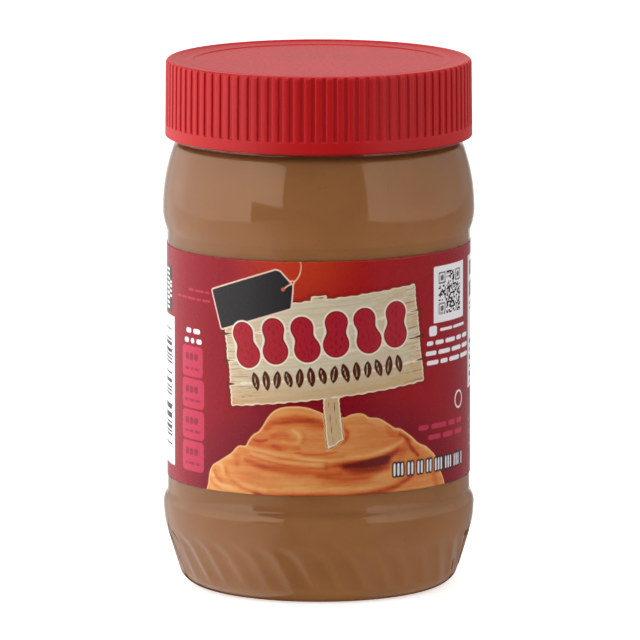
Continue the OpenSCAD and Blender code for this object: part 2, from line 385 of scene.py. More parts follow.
def box_edge(u, v, centre, size, corner=0.0):
    """Distance from an upright box with rounded corners."""
    dx = np.abs(u - centre[0]) - size[0] / 2 + corner
    dy = np.abs(v - centre[1]) - size[1] / 2 + corner
    outside = np.hypot(np.maximum(dx, 0), np.maximum(dy, 0))
    return outside + np.minimum(np.maximum(dx, dy), 0) - corner


def span_edge(u, v, u0, u1, v0, v1, corner=0.0):
    """Distance from an upright box between two corners."""
    return box_edge(u, v, ((u0 + u1) / 2, (v0 + v1) / 2), (u1 - u0, v1 - v0), corner)


def from_stretch(u, v, a, b):
    """Distance from the straight stretch between a and b, and the share of the way along it of the
    nearest place."""
    bx, by = b[0] - a[0], b[1] - a[1]
    share = np.clip(((u - a[0]) * bx + (v - a[1]) * by) / (bx * bx + by * by), 0, 1)
    return np.hypot(u - a[0] - share * bx, v - a[1] - share * by), share


def line_edge(u, v, points, width):
    """Distance from a bent line of this width, or of a width for each point."""
    widths = np.broadcast_to(np.asarray(width, float), (len(points),))
    nearest = np.full(u.shape, 1e3)
    for a, b, wide_a, wide_b in zip(points[:-1], points[1:], widths[:-1], widths[1:]):
        away, share = from_stretch(u, v, a, b)
        nearest = np.minimum(nearest, away - (wide_a + (wide_b - wide_a) * share) / 2)
    return nearest


def area_edge(u, v, points, corner=0.0):
    """Distance from a closed outline: the nearest of its edges, below zero where a level line from the
    place crosses the outline an odd number of times."""
    nearest = np.full(u.shape, 1e3)
    inside = np.zeros(u.shape, bool)
    for a, b in zip(points, points[1:] + points[:1]):
        nearest = np.minimum(nearest, from_stretch(u, v, a, b)[0])
        if a[1] != b[1]:
            crossing = a[0] + (b[0] - a[0]) * (v - a[1]) / (b[1] - a[1])
            inside ^= ((a[1] > v) != (b[1] > v)) & (u < crossing)
    return np.where(inside, -nearest, nearest) - corner


def curve(points, count=12):
    """A smooth line through the points (Catmull-Rom: each stretch leaves a point along the line between
    its neighbours)."""
    p = np.asarray(points, float)
    p = np.concatenate([2 * p[:1] - p[1:2], p, 2 * p[-1:] - p[-2:-1]])
    t = (np.arange(count) / count)[:, None]
    out = []
    for a, b, c, d in zip(p[:-3], p[1:-2], p[2:-1], p[3:]):
        out.append(0.5 * (2 * b + (c - a) * t + (2 * a - 5 * b + 4 * c - d) * t ** 2
                          + (3 * b - a - 3 * c + d) * t ** 3))
    return [tuple(q) for q in np.concatenate(out + [p[-2:-1]])]


def blended(a, b, reach):
    """The smaller of two distances, rounded where they meet."""
    h = np.clip(0.5 + 0.5 * (b - a) / reach, 0, 1)
    return b * (1 - h) + a * h - reach * h * (1 - h)


# The board stands askew, and its planks run along its own axis
BOARD_TURN = math.radians(6.4)
BOARD_LOW, BOARD_HIGH = 49.9, 73.64
BOARD_LEFT, BOARD_RIGHT = -16.45, 33.46
PLANK_SEAMS = (55.1, 60.7, 67.15)
POST = [(0.9, 50.6), (4.75, 51), (5.85, 40.5), (3.9, 39.2), (2.05, 38.2)]


def on_board(u, v):
    """Places along and across the board."""
    return leaning(u, v, BOARD_TURN)


def board_shape(u, v):
    """Four planks with uneven ends, the post they are nailed to and its head over the top plank. Two waves
    make the edges ragged."""
    p, q = on_board(u, v)
    overlap, corner = 0.05, 0.35
    edges = (BOARD_LOW,) + PLANK_SEAMS + (BOARD_HIGH,)
    ends = ((-0.15, 0.0), (0.1, -0.25), (-0.1, -0.15), (0.0, -0.35))
    wood = [
        span_edge(p, q, BOARD_LEFT + left, BOARD_RIGHT + right, low - overlap, high + overlap, corner)
        for low, high, (left, right) in zip(edges[:-1], edges[1:], ends)
    ]
    wood.append(span_edge(p, q, 6.3, 10.15, BOARD_HIGH - 1, BOARD_HIGH + 1, 0.1))
    wood.append(area_edge(u, v, POST))
    ragged = 0.09 * np.sin(2.3 * p + 1.5 * np.sin(1.1 * q)) + 0.07 * np.sin(5.1 * q + 0.9 * p)
    return np.minimum.reduce(wood) + ragged


def board_gaps(u, v):
    """Cracks that run in from the ends of the planks, and the shadow lines on the post and its head. Each
    is a line with a width at every point."""
    cracks = [
        ([(BOARD_RIGHT - 5.5, 52.6), (BOARD_RIGHT - 1.5, 52.9)], (0.05, 0.22)),
        ([(BOARD_LEFT + 3, 51.9), (BOARD_LEFT + 7, 52.1)], (0.2, 0.05)),
        ([(7.2, BOARD_HIGH + 0.5), (9.6, BOARD_HIGH + 0.55)], 0.22),
    ]
    for seam, left, right in zip(PLANK_SEAMS, (2.6, 1.4, 2.8), (3.0, 5.2, 2.6)):
        cracks.append(([(BOARD_LEFT - 1, seam), (BOARD_LEFT + left, seam + 0.05)], (0.75, 0.1)))
        cracks.append(([(BOARD_RIGHT + 1, seam + 0.1), (BOARD_RIGHT - right, seam)], (0.7, 0.08)))
    on_post = [
        ([(2.3, 49.6), (2.9, 43.8), (3.6, 39.2)], (0.14, 0.28, 0.1)),
        ([(3.6, 49.8), (4.1, 45.2), (4.5, 42)], (0.3, 0.12, 0.05)),
    ]
    p, q = on_board(u, v)
    return np.minimum.reduce([line_edge(p, q, *crack) for crack in cracks]
                             + [line_edge(u, v, *line) for line in on_post])


# Corners of the tag, whose point with the eye is to the right
TAG = [(-27.9, 75.0), (-10.2, 81.05), (-9.3, 80.8), (-6.3, 77.5), (-6.35, 76.4), (-6.75, 72.2),
       (-25.0, 66.1)]


def tag_shape(u, v):
    """The dark swing tag, drawn in towards its middle by about as much as its rounded corners add."""
    middle_u, middle_v = -17, 74
    inner = [(x + (middle_u - x) * 0.02, y + (middle_v - y) * 0.035) for x, y in TAG]
    return area_edge(u, v, inner, 0.25)


def string_shape(u, v):
    """The string: down from the label's edge, a small loop at the tag's point, then to the tag's eye."""
    fall = curve([(-4.6, 84.2), (-4.25, 82.6), (-4.35, 80.9), (-4.9, 79.5), (-5.75, 78.5)])
    tie = curve([(-5.75, 78.5), (-6.4, 78.75), (-6.8, 78.3), (-6.35, 77.75), (-5.85, 78.0), (-5.9, 78.4)])
    end = [(-6.5, 77.95), (-7.6, 77.3), (-8.3, 76.75)]
    return np.minimum.reduce([line_edge(u, v, line, 0.36) for line in (fall, tie, end)])


def pod(p, q, centre, lean):
    """A peanut pod: two round lobes blended at a waist. Also gives the place across it and along it."""
    upper_y, upper_r = 2.75, 2.7
    lower_y, lower_r = -2.5, 3.1
    x, y = leaning(p, q, lean, centre)
    upper = np.hypot(x, y - upper_y) - upper_r
    lower = np.hypot(x, y - lower_y) - lower_r
    return blended(upper, lower, 2.2), x, y


# Place along the board and across it, and lean, of each pod
PODS = [(-11.0, 64.4, 0.17), (-3.5, 64.9, 0.0), (3.9, 64.7, 0.14), (11.5, 65.1, -0.12),
        (19.0, 64.9, 0.12), (26.6, 65.1, -0.12)]


def pod_shapes(u, v):
    """Six pods in a row across the board, and the net of short strokes on each shell: three lines, the outer
    two bowed, broken into dashes."""
    stroke_pitch, half_stroke, half_w, margin = 2.1, 0.62, 0.16, 0.8
    p, q = on_board(u, v)
    bodies, strokes = [], []
    for x0, y0, lean in PODS:
        body, x, y = pod(p, q, (x0, y0), lean)
        bodies.append(body)
        for side in (-1, 0, 1):
            bow = side * (1.45 - 0.045 * (y + 0.1) ** 2)
            line = np.abs(x - bow) - half_w
            from_dash = np.abs((y / stroke_pitch + 0.5 * (side == 0)) % 1 - 0.5) * stroke_pitch
            strokes.append(np.maximum.reduce([line, from_dash - half_stroke, body + margin]))
    return np.minimum.reduce(bodies), np.minimum.reduce(strokes)


def kernel_shapes(u, v):
    """A row of small kernels: pointed ovals, each the overlap of two circles, with a slit down the middle.
    They lean to and fro."""
    row, half_w = 55.5, 0.98
    p, q = on_board(u, v)
    marks = []
    for i, x0 in enumerate(np.linspace(-9.3, 26.4, 14)):
        lean = 0.22 * math.sin(2.4 * i + 0.6)
        half_h = 2.35 + 0.2 * math.sin(1.7 * i)
        across, along = leaning(p, q, lean, (x0, row))
        radius = (half_h ** 2 + half_w ** 2) / (2 * half_w)
        offset = radius - half_w
        oval = np.maximum(np.hypot(across - offset, along), np.hypot(across + offset, along)) - radius
        slit = np.maximum(np.abs(across + 0.12) - 0.14, np.abs(along) - 1.35)
        marks.append(np.maximum(oval, -slit))
    return np.minimum.reduce(marks)


# Outline of the heap of spread, from its left foot over its top to its right foot
HEAP = [(-30.6, 25.5), (-29.5, 28), (-29.1, 30.5), (-28.5, 31.9), (-27.6, 33.0), (-26, 33.9), (-24, 35.1),
        (-22, 36.4), (-20.9, 37.6), (-19.8, 38.3), (-18.1, 38.4), (-17.3, 39.8), (-16.0, 41.3), (-14.8, 42),
        (-13.8, 43.2), (-12.6, 45.2), (-11.5, 46.6), (-10, 47.7), (-8, 48.3), (-5, 48.5), (-2.5, 48.2),
        (0, 47.3), (1.5, 46.7), (5.0, 46.1), (6.2, 45.8), (7.5, 46.4), (9.5, 46.7), (11, 46.4), (12.2, 45.6),
        (14, 45.4), (15.2, 45.0), (16.5, 44.2), (18, 43.2), (19, 42.6), (20.2, 42.4), (21.2, 41.9),
        (22.5, 41), (24, 39.9), (25.5, 38.6), (27, 37.8), (28.3, 37.3), (30, 36.0), (31.3, 34.9),
        (32.4, 33.2), (33.5, 30.8), (34.6, 29), (35.4, 27), (35.6, 25.5)]

# Folds of the heap: points, how far the tone spreads to each side, and how dark (-) or light (+) it is
FOLDS = [
    ([(-13, 43.0), (-10.5, 44.4), (-5, 45.3), (-1, 44.9), (1.4, 44.2)], 0.8, -0.6),
    ([(-8, 44.6), (-4, 45.1), (1, 44.0)], 1.2, -0.25),
    ([(-11, 42.6), (-8, 43.4), (-4, 43.4)], 0.7, 0.2),
    ([(-12.8, 44.6), (-10.5, 46.6), (-6, 47.6), (-2, 47.3), (1, 46.2)], 0.75, 0.3),
    ([(-16.2, 40.1), (-14.5, 39.8), (-12.6, 40.1)], 0.32, -0.75),
    ([(-17.2, 39.0), (-13, 38.9), (-9.5, 38.2)], 0.7, -0.25),
    ([(-11.2, 41.3), (-9.2, 41.8), (-7.4, 41.5)], 0.6, -0.5),
    ([(-11, 38.8), (-9, 38.4), (-7, 39.0), (-4.8, 38.4)], 0.55, -0.45),
    ([(-8.6, 39.9), (-7.0, 39.4), (-5.0, 39.9), (-4.8, 41.6), (-6.2, 42.8)], 0.4, 0.45),
    ([(-3.8, 39.8), (-3.2, 41.4), (-4.0, 42.6)], 0.25, -0.25),
    ([(-17.9, 38.2), (-14, 37.5), (-8, 36.6), (0, 35.8), (6, 35.7), (12, 36.3), (17, 37.6),
      (21.2, 39.3)], 0.5, 0.55),
    ([(-16, 37.2), (-10, 36.1), (-4, 35.4), (2, 35.1)], 0.22, -0.5),
    ([(-16.5, 36.8), (-10, 35.4), (-4, 34.7), (3, 34.4)], 0.5, 0.4),
    ([(-17, 36.0), (-11, 34.7), (-5, 34.0), (2, 33.6)], 0.22, -0.45),
    ([(-5.4, 37.3), (-2, 36.9), (2, 37.2), (4.4, 37.6)], 0.2, -0.7),
    ([(-4.0, 36.5), (1, 36.2), (6, 36.4)], 0.25, -0.45),
    ([(-18.2, 35.0), (-13, 33.6), (-7.7, 33.0), (-1, 32.6), (5, 32.4)], 0.6, -0.65),
    ([(2, 34.3), (7, 34.5), (12, 34.7), (16.5, 35.6), (19.8, 37.4)], 0.85, -0.9),
    ([(6.4, 33.6), (10, 33.8), (14, 34.4), (16.8, 35.0)], 1.15, -1.0),
    ([(0, 31.6), (6, 31.4), (12, 32.0), (17, 33.4)], 0.75, -0.55),
    ([(1, 30.2), (7, 30.0), (12, 30.8)], 0.6, -0.3),
    ([(-12, 31.6), (-6, 30.8), (0, 30.6)], 1.2, 0.2),
    ([(14, 31.0), (18, 32.2), (21, 34.2)], 0.8, 0.3),
    ([(-23.8, 32.6), (-23.3, 30.8), (-21, 29.2), (-18.4, 28.0), (-14.4, 26.9)], 0.4, -0.5),
    ([(-25.2, 33), (-24.4, 31), (-21.6, 29.8), (-17.5, 28.6), (-13, 27.8)], 0.5, 0.35),
    ([(-15.5, 26.9), (-9, 26.7), (-2, 27.0), (5, 26.9), (12, 27.2), (17, 27.9), (20, 28.8),
      (24, 30.6)], 0.55, -0.85),
    ([(-14, 28.3), (-5, 28.5), (6, 28.2), (13, 28.6), (19, 30.2)], 0.7, 0.3),
    ([(-28.6, 31.0), (-26.8, 28.9), (-23, 27.8), (-17, 27.0)], 0.6, 0.55),
    ([(-29.4, 28.4), (-27.6, 27.2), (-24, 26.6)], 0.5, 0.35),
    ([(-27.4, 31.6), (-26.4, 30.0), (-25.0, 29.0)], 0.35, -0.5),
    ([(-28.2, 28.6), (-25.4, 27.3)], 0.3, -0.3),
    ([(-21.6, 36.4), (-20.4, 35.2), (-20.6, 33.6)], 0.7, -0.35),
    ([(-26.5, 33.0), (-22.8, 35.2), (-20.6, 37.0)], 0.45, 0.3),
    ([(17.0, 43.0), (17.8, 41.6), (20.2, 40.4)], 0.6, -0.4),
    ([(20.3, 41.2), (22.4, 39.8), (23.6, 37.6), (25.8, 35.4)], 0.4, -0.95),
    ([(20.0, 42.0), (23.0, 40.6), (26.0, 38.2), (28.6, 36.6), (31.4, 34.4)], 0.4, 0.4),
    ([(21.8, 39.0), (21.4, 36.6), (19.6, 34.0)], 0.7, -0.35),
    ([(24.2, 36.0), (27.4, 34.2), (30.4, 33.6)], 1.0, -0.2),
    ([(31.8, 31.6), (31.2, 29.6), (32.4, 27.4)], 0.7, -0.45),
    ([(6.0, 43.4), (6.9, 42.0), (6.3, 40.6), (5.4, 39.8)], 0.45, -0.8),
    ([(7.4, 45.9), (10.4, 46.0), (13, 44.8), (17, 42.8)], 0.4, 0.3),
    ([(26, 28.4), (29, 28.2), (31, 28.8)], 0.9, 0.15),
]


def heap_tone(u, v):
    """Light and shade of the heap: each fold adds its tone, which falls off to its sides as a bell, over
    two slow waves."""
    thin_end = 0.12
    tone = 0.12 * np.sin(0.21 * u + 0.5) * np.cos(0.17 * v) + 0.1
    for points, spread, amount in FOLDS:
        line = curve(points, 6)
        taper = np.sin(np.linspace(thin_end, np.pi - thin_end, len(line))) * spread * 0.9
        tone = tone + amount * np.exp(-(np.maximum(line_edge(u, v, line, taper), 0) / spread) ** 2)
    return tone


def bar_edge(u, v, left, right, level, height, corner=0.0):
    """Distance from an upright box between two places, centred on a level."""
    return span_edge(u, v, left, right, level - height / 2, level + height / 2, corner)


def dashes(u, v, left, right, level, height, words, seed):
    """A ruled line of rounded dashes of uneven length between two places."""
    lengths = np.random.default_rng(seed).uniform(0.6, 1.5, words)
    gap = height * 0.75
    lengths *= (right - left - gap * (words - 1)) / lengths.sum()
    edge, out = left, []
    for length in lengths:
        out.append(bar_edge(u, v, edge, edge + length, level, height, height * 0.4))
        edge += length + gap
    return np.minimum.reduce(out)


def tally(u, v):
    """The row of upright rounded bars at the foot of the label, in groups."""
    edge, level, height, width, pitch = 18.6, 32.5, 3.1, 0.56, 1.08
    out = []
    for count in (3, 2, 2, 2, 3, 3, 3, 1):
        for _ in range(count):
            out.append(bar_edge(u, v, edge, edge + width, level, height, 0.25))
            edge += pitch
        edge += pitch * 0.75
    return np.minimum.reduce(out)


# Left, right, level, height, dashes and seed of each ruled line of dashes
WHITE_LINES = [
    (28.6, 48.2, 61.9, 1.05, 5, 619), (28.2, 48.6, 59.5, 1.05, 4, 595), (28.6, 48.8, 57.2, 1.05, 4, 572),
    (33.4, 45.8, 64.8, 0.7, 2, 7), (-38.2, -32.4, 64.3, 1.2, 2, 3), (-39.0, -31.8, 61.9, 1.2, 3, 4),
]
PINK_LINES = [
    (-37.2, -28.9, 74.2, 0.5, 3, 1), (-42.8, -28.7, 72.1, 0.5, 5, 2), (25.9, 44.2, 41.8, 1.25, 4, 12),
    (29.1, 44.4, 39.2, 1.25, 3, 13), (50.6, 70.0, 40.5, 0.9, 3, 14), (50.6, 72.0, 37.5, 0.9, 4, 15),
    (50.6, 66.0, 34.5, 0.9, 3, 16),
]

# Left, right, low and high of the four small panels
PANELS = [(-40.2, -31.4, 53.2, 60.6), (-40.2, -30.9, 45.6, 52.7), (-40.2, -30.9, 38.1, 45.1),
          (-40.2, -31.0, 30.3, 37.6)]


def white_print(u, v):
    """White ink: two large panels, the field of the squares, a small tile, a ring, lines of dashes, the row
    of bars, and two columns of short stripes."""
    boxes = [(31.0, 45.2, 66.6, 80.2), (49.7, 96.0, 48.4, 80.5), (-86.0, -45.2, 30.2, 66.3)]
    white = [span_edge(u, v, *box) for box in boxes]
    white += [dashes(u, v, *line) for line in WHITE_LINES]
    white += [bar_edge(u, v, -53.5, -49.6, level, 0.64, 0.2) for level in np.arange(68.0, 78.0, 1.15)]
    white += [bar_edge(u, v, -49.4, -47.4, level, 0.6, 0.2) for level in (71, 72.2, 73.4, 74.4)]
    tile = span_edge(u, v, 29.4, 32.2, 63.6, 66.0, 0.6)
    ring = np.abs(np.hypot(u - 42.3, v - 46.9) - 2.0) - 0.24
    return np.minimum.reduce(white + [tile, ring, tally(u, v)])


def pink_print(u, v):
    """Pink ink, the small panels and lines of dashes, and the dark marks on the panels."""
    pink = [dashes(u, v, *line) for line in PINK_LINES]
    marks = []
    for i, (left, right, low, high) in enumerate(PANELS):
        pink.append(span_edge(u, v, left, right, low, high, 1.1))
        marks += [box_edge(u, v, (left + place, high - 2.6), (1.5, 1.7), 0.5) for place in (2.4, 4.3, 6.2)]
        marks.append(dashes(u, v, left + 1.3, right - 1.5, low + 1.9, 0.6, 3, 31 + i))
    return np.minimum.reduce(pink), np.minimum.reduce(marks)


def ruled_print(u, v):
    """Dark lines on the white panels and three corner squares, and the places kept clear round those."""
    rows = ((77.2, 3.6), (72.15, 3.7), (68.7, 0.5), (67.4, 0.4), (59.4, 1.0), (57.4, 0.6), (55.4, 1.1),
            (53.3, 0.6), (51.4, 1.3), (49.6, 0.4))
    ruled = [bar_edge(u, v, 51.4, 94.0, level, height) for level, height in rows]
    ruled.append(bar_edge(u, v, -86.0, -47.6, 62.9, 0.4))
    ruled += [bar_edge(u, v, -47.4, -46.2, level, 0.3) for level in np.arange(36, 60, 1.7)]
    corners = [(34.24, 77.28), (41.61, 77.28), (34.24, 69.91)]
    outer, line, inner, clear = 2.46, 0.4, 1.23, 3.6
    ruled += [np.abs(box_edge(u, v, place, (outer, outer))) - line / 2 for place in corners]
    ruled += [box_edge(u, v, place, (inner, inner)) for place in corners]
    return np.minimum.reduce(ruled), np.minimum.reduce([box_edge(u, v, at, (clear, clear)) for at in corners])


def print_inks(u, v):
    """Every ink's distance from its edge, and the heap's tone, by name. The dark ink is a tile under the
    upper stripes and an edge round the bars."""
    dark_tile = span_edge(u, v, -54.0, -47.2, 67.2, 78.2, 0.5)
    tag = tag_shape(u, v)
    pods, net = pod_shapes(u, v)
    pink, marks = pink_print(u, v)
    ruled, clear = ruled_print(u, v)
    return {
        "board": np.maximum(board_shape(u, v), -tag),
        "gaps": board_gaps(u, v),
        "tag": tag,
        "string": string_shape(u, v),
        "pods": pods,
        "net": net,
        "kernels": kernel_shapes(u, v),
        "heap": np.maximum(area_edge(u, v, curve(HEAP, 5)), -area_edge(u, v, POST)),
        "tone": heap_tone(u, v),
        "white": white_print(u, v),
        "pink": pink,
        "marks": marks,
        "ruled": ruled,
        "clear": clear,
        "dark": np.minimum(dark_tile, tally(u, v) - 0.4),
        "eye": np.hypot(u + 8.55, v - 76.55) - 0.5,
    }


def wrap_label():
    """The label: a thin strip bent round the jar, a little askew, whose last stretch lies over its first
    at the back. The columns are close together over the front, where the print is fine."""
    thick, lap, askew, climb = 0.12, 8.0, 0.35, 1.8
    front, back = 58.0, np.pi * LABEL_R
    fine = np.linspace(-front, front, 324)
    coarse = np.linspace(front, back - 2.0, 40)[1:]
    climbing = np.linspace(back - climb, back, 6)
    over = np.linspace(back + 0.8, back + lap, 8)
    along = np.concatenate([[-back], -coarse[::-1], fine, coarse, climbing, over])
    angle = along / LABEL_R
    outer_r = LABEL_R + thick * ramp(along, back - climb, back)
    share = np.linspace(0, 1, 158)
    z = LABEL_LOW + askew * np.sin(angle)[None, :] + share[:, None] * (LABEL_TOP - LABEL_LOW)
    ends = z[[0, -1]]
    outer = turned(*np.broadcast_arrays(outer_r, z, angle))
    inner = turned(*np.broadcast_arrays(outer_r - thick, ends, angle))
    points = np.concatenate([outer.reshape(-1, 3), inner.reshape(-1, 3)])

    # Outside, inside, the lower and upper edges, then the two ends
    n, m = z.shape
    k, start = np.arange(m - 1), np.arange(n) * m
    low, high, top = n * m, n * m + m, (n - 1) * m
    faces = sheet_faces(n, m)
    faces += np.stack([low + k, high + k, high + k + 1, low + k + 1], axis=1).tolist()
    faces += np.stack([k + 1, k, low + k, low + k + 1], axis=1).tolist()
    faces += np.stack([top + k, top + k + 1, high + k + 1, high + k], axis=1).tolist()
    faces.append([low, *start.tolist(), high])
    faces.append([high + m - 1, *(start + m - 1)[::-1].tolist(), low + m - 1])
    piece = new_mesh("wrap_label", points, faces)

    u = np.concatenate([np.tile(along, n), np.tile(along, 2)])
    u = np.where(u > back, u - 2 * back, u)
    v = points[:, 2]
    for name, value in print_inks(u, v).items():
        layer = piece.data.attributes.new(name, "FLOAT", "POINT")
        layer.data.foreach_set("value", value.astype(np.float32))
    place = piece.data.attributes.new("place", "FLOAT_VECTOR", "POINT")
    place.data.foreach_set("vector", np.stack([u, v, np.zeros_like(u)], axis=1).astype(np.float32).ravel())
    return piece


# ---------------------------------------------------------------- materials

def shade(r, g, b):
    """A colour given as it looks on a screen, from 0 to 255, as linear light."""
    c = np.array([r, g, b]) / 255
    linear = np.where(c <= 0.04045, c / 12.92, ((c + 0.055) / 1.055) ** 2.4)
    return (*linear.tolist(), 1.0)


def fill_ramp(color_ramp, stops):
    """Puts (position, colour) stops into a colour ramp."""
    for element, (at, tint) in zip(color_ramp.elements, (stops[0], stops[-1])):
        element.position, element.color = at, tint
    for at, tint in stops[1:-1]:
        color_ramp.elements.new(at).color = tint


class Wiring:
    """Short ways to place and join the nodes of one tree."""

    def __init__(self, tree):
        self.tree = tree

    def add(self, kind, **values):
        node = self.tree.nodes.new(kind)
        for key, value in values.items():
            setattr(node, key, value)
        return node

    def feed(self, socket, value):
        """Links a socket to the value, or sets it."""
        if isinstance(value, bpy.types.NodeSocket):
            self.tree.links.new(value, socket)
        elif value is not None:
            socket.default_value = value

    def math(self, operation, a, b=None, c=None):
        node = self.add("ShaderNodeMath", operation=operation)
        for socket, value in zip(node.inputs, (a, b, c)):
            self.feed(socket, value)
        return node.outputs[0]

    def fade(self, value, low, high, a=0.0, b=1.0):
        """Smooth step from a to b as value goes from low to high."""
        node = self.add("ShaderNodeMapRange", interpolation_type="SMOOTHSTEP")
        for socket, v in zip(node.inputs, (value, low, high, a, b)):
            self.feed(socket, v)
        return node.outputs[0]

    def mix(self, share, a, b, mode="MIX"):
        node = self.add("ShaderNodeMix", data_type="RGBA", blend_type=mode)
        self.feed(node.inputs[0], share)
        self.feed(node.inputs[6], a)
        self.feed(node.inputs[7], b)
        return node.outputs[2]

    def noise(self, place, scale, detail=2.0, roughness=0.5, stretch=None):
        if stretch is not None:
            node = self.add("ShaderNodeMapping")
            self.feed(node.inputs["Vector"], place)
            node.inputs["Scale"].default_value = stretch
            place = node.outputs[0]
        node = self.add("ShaderNodeTexNoise")
        self.feed(node.inputs["Vector"], place)
        node.inputs["Scale"].default_value = scale
        node.inputs["Detail"].default_value = detail
        node.inputs["Roughness"].default_value = roughness
        return node.outputs[0]

    def own(self, name, output="Fac"):
        """The piece's own attribute."""
        return self.add("ShaderNodeAttribute", attribute_name=name).outputs[output]

    def split(self, place):
        """The three parts of a place."""
        node = self.add("ShaderNodeSeparateXYZ")
        self.feed(node.inputs[0], place)
        return node.outputs

    def ink(self, under, name, colour, soft=0.12, shift=0.0, strength=1.0):
        """Puts a colour over another inside the shape of this name. The shape is grown by the shift."""
        return self.mix(self.fade(self.own(name), shift - soft, shift + soft, strength, 0.0), under, colour)


def material(name):
    """A new material with one Principled shader, and its wiring."""
    mat = bpy.data.materials.new(name)
    mat.use_nodes = True
    wiring = Wiring(mat.node_tree)
    shader = mat.node_tree.nodes["Principled BSDF"]
    return mat, wiring, shader


def fine_relief():
    """Group: the small unevenness of moulded plastic and film, as a normal and a mask for roughness."""
    group = bpy.data.node_groups.new("fine_relief", "ShaderNodeTree")
    for label, value in (("Scale", 400.0), ("Depth", 0.02)):
        socket = group.interface.new_socket(label, in_out="INPUT", socket_type="NodeSocketFloat")
        socket.default_value = value
    group.interface.new_socket("Mask", in_out="OUTPUT", socket_type="NodeSocketFloat")
    group.interface.new_socket("Normal", in_out="OUTPUT", socket_type="NodeSocketVector")
    w = Wiring(group)
    enter, leave = w.add("NodeGroupInput"), w.add("NodeGroupOutput")
    place = w.add("ShaderNodeTexCoord").outputs["Object"]
    grain = w.add("ShaderNodeTexNoise")
    w.feed(grain.inputs["Vector"], place)
    w.feed(grain.inputs["Scale"], enter.outputs["Scale"])
    grain.inputs["Detail"].default_value = 3.0
    bump = w.add("ShaderNodeBump")
    w.feed(bump.inputs["Height"], grain.outputs[0])
    w.feed(bump.inputs["Strength"], enter.outputs["Depth"])
    bump.inputs["Distance"].default_value = 0.0005
    w.feed(leave.inputs["Mask"], grain.outputs[0])
    w.feed(leave.inputs["Normal"], bump.outputs[0])
    return group


RELIEF = fine_relief()


def relief(wiring, scale, depth):
    """Places the fine relief group with its own values."""
    node = wiring.add("ShaderNodeGroup", node_tree=RELIEF)
    node.inputs["Scale"].default_value = scale
    node.inputs["Depth"].default_value = depth
    return node.outputs["Mask"], node.outputs["Normal"]


def clear_plastic():
    """Clear moulded wall: glass-like, faintly warm, a little wavy."""
    mat, w, shader = material("clear_plastic")
    mask, normal = relief(w, 40.0, 0.012)
    shader.inputs["Base Color"].default_value = (0.99, 0.975, 0.95, 1)
    shader.inputs["IOR"].default_value = 1.43
    shader.inputs["Specular Tint"].default_value = (1.0, 0.8, 0.64, 1)
    shader.inputs["Transmission Weight"].default_value = 1.0
    w.feed(shader.inputs["Roughness"], w.fade(mask, 0.3, 0.7, 0.05, 0.08))
    w.feed(shader.inputs["Normal"], normal)
    return mat


def spread():
    """Peanut butter: light brown, with soft drifts and fine specks. Near the neck it is painted darker and
    redder, as painted shade of the cap and a painted red reflection of it.
    """
    mat, w, shader = material("spread")
    place = w.add("ShaderNodeTexCoord").outputs["Object"]
    drift = w.noise(place, 28.0, 3.0, 0.55, stretch=(1, 1, 1.6))
    speck = w.noise(place, 900.0, 2.0, 0.6)
    colour = w.mix(w.fade(drift, 0.35, 0.65), shade(154, 103, 60), shade(163, 111, 67))
    colour = w.mix(w.fade(speck, 0.6, 0.75, 0.0, 0.25), colour, shade(128, 81, 43))
    # Painted shade: darker and redder just below the cap's foot, standing in for the cap's shadow and the red
    # reflected from it
    painted_cap_shade = w.fade(w.split(place)[2], (CAP_LOW - 2.3) * MM, (CAP_LOW - 1.0) * MM, 0.0, 0.75)
    colour = w.mix(painted_cap_shade, colour, shade(104, 34, 24))
    w.feed(shader.inputs["Base Color"], colour)
    shader.inputs["Roughness"].default_value = 0.5
    shader.inputs["Specular IOR Level"].default_value = 0.1
    bump = w.add("ShaderNodeBump")
    w.feed(bump.inputs["Height"], speck)
    bump.inputs["Strength"].default_value = 0.1
    bump.inputs["Distance"].default_value = 0.0003
    w.feed(shader.inputs["Normal"], bump.outputs[0])
    return mat


def cap_plastic():
    """Red moulded plastic with a satin skin and slow drifts of tone."""
    mat, w, shader = material("cap_plastic")
    mask, normal = relief(w, 1200.0, 0.01)
    place = w.add("ShaderNodeTexCoord").outputs["Object"]
    drift = w.noise(place, 40.0, 2.0)
    colour = w.mix(w.fade(drift, 0.3, 0.7), shade(187, 19, 22), shade(193, 22, 25))
    w.feed(shader.inputs["Base Color"], colour)
    w.feed(shader.inputs["Roughness"], w.fade(mask, 0.3, 0.7, 0.36, 0.42))
    w.feed(shader.inputs["Normal"], normal)
    shader.inputs["Specular IOR Level"].default_value = 0.23
    return mat


def red_field(w, u, v):
    """The label's red: it glows at the top, and is darker to the right and round the heap and the board."""
    glow_u, glow_v, glow_r = -5.0, 84.0, 17.0
    du = w.math("MULTIPLY", w.math("ADD", u, -glow_u), 1 / glow_r)
    dv = w.math("MULTIPLY", w.math("ADD", v, -glow_v), 1 / glow_r)
    reach = w.math("SQRT", w.math("ADD", w.math("MULTIPLY", du, du), w.math("MULTIPLY", dv, dv)))
    field = w.mix(w.fade(u, -30.0, 6.0), shade(146, 12, 32), shade(172, 20, 28))
    field = w.mix(w.fade(u, 8.0, 48.0, 0.0, 0.85), field, shade(140, 26, 40))
    field = w.mix(w.fade(reach, 0.1, 1.2, 1.0, 0.0), field, shade(194, 58, 32))
    field = w.mix(w.fade(w.own("heap"), 0.0, 12.0, 0.6, 0.0), field, shade(108, 16, 36))
    return w.mix(w.fade(w.own("board"), 0.0, 1.6, 0.4, 0.0), field, shade(120, 10, 16))


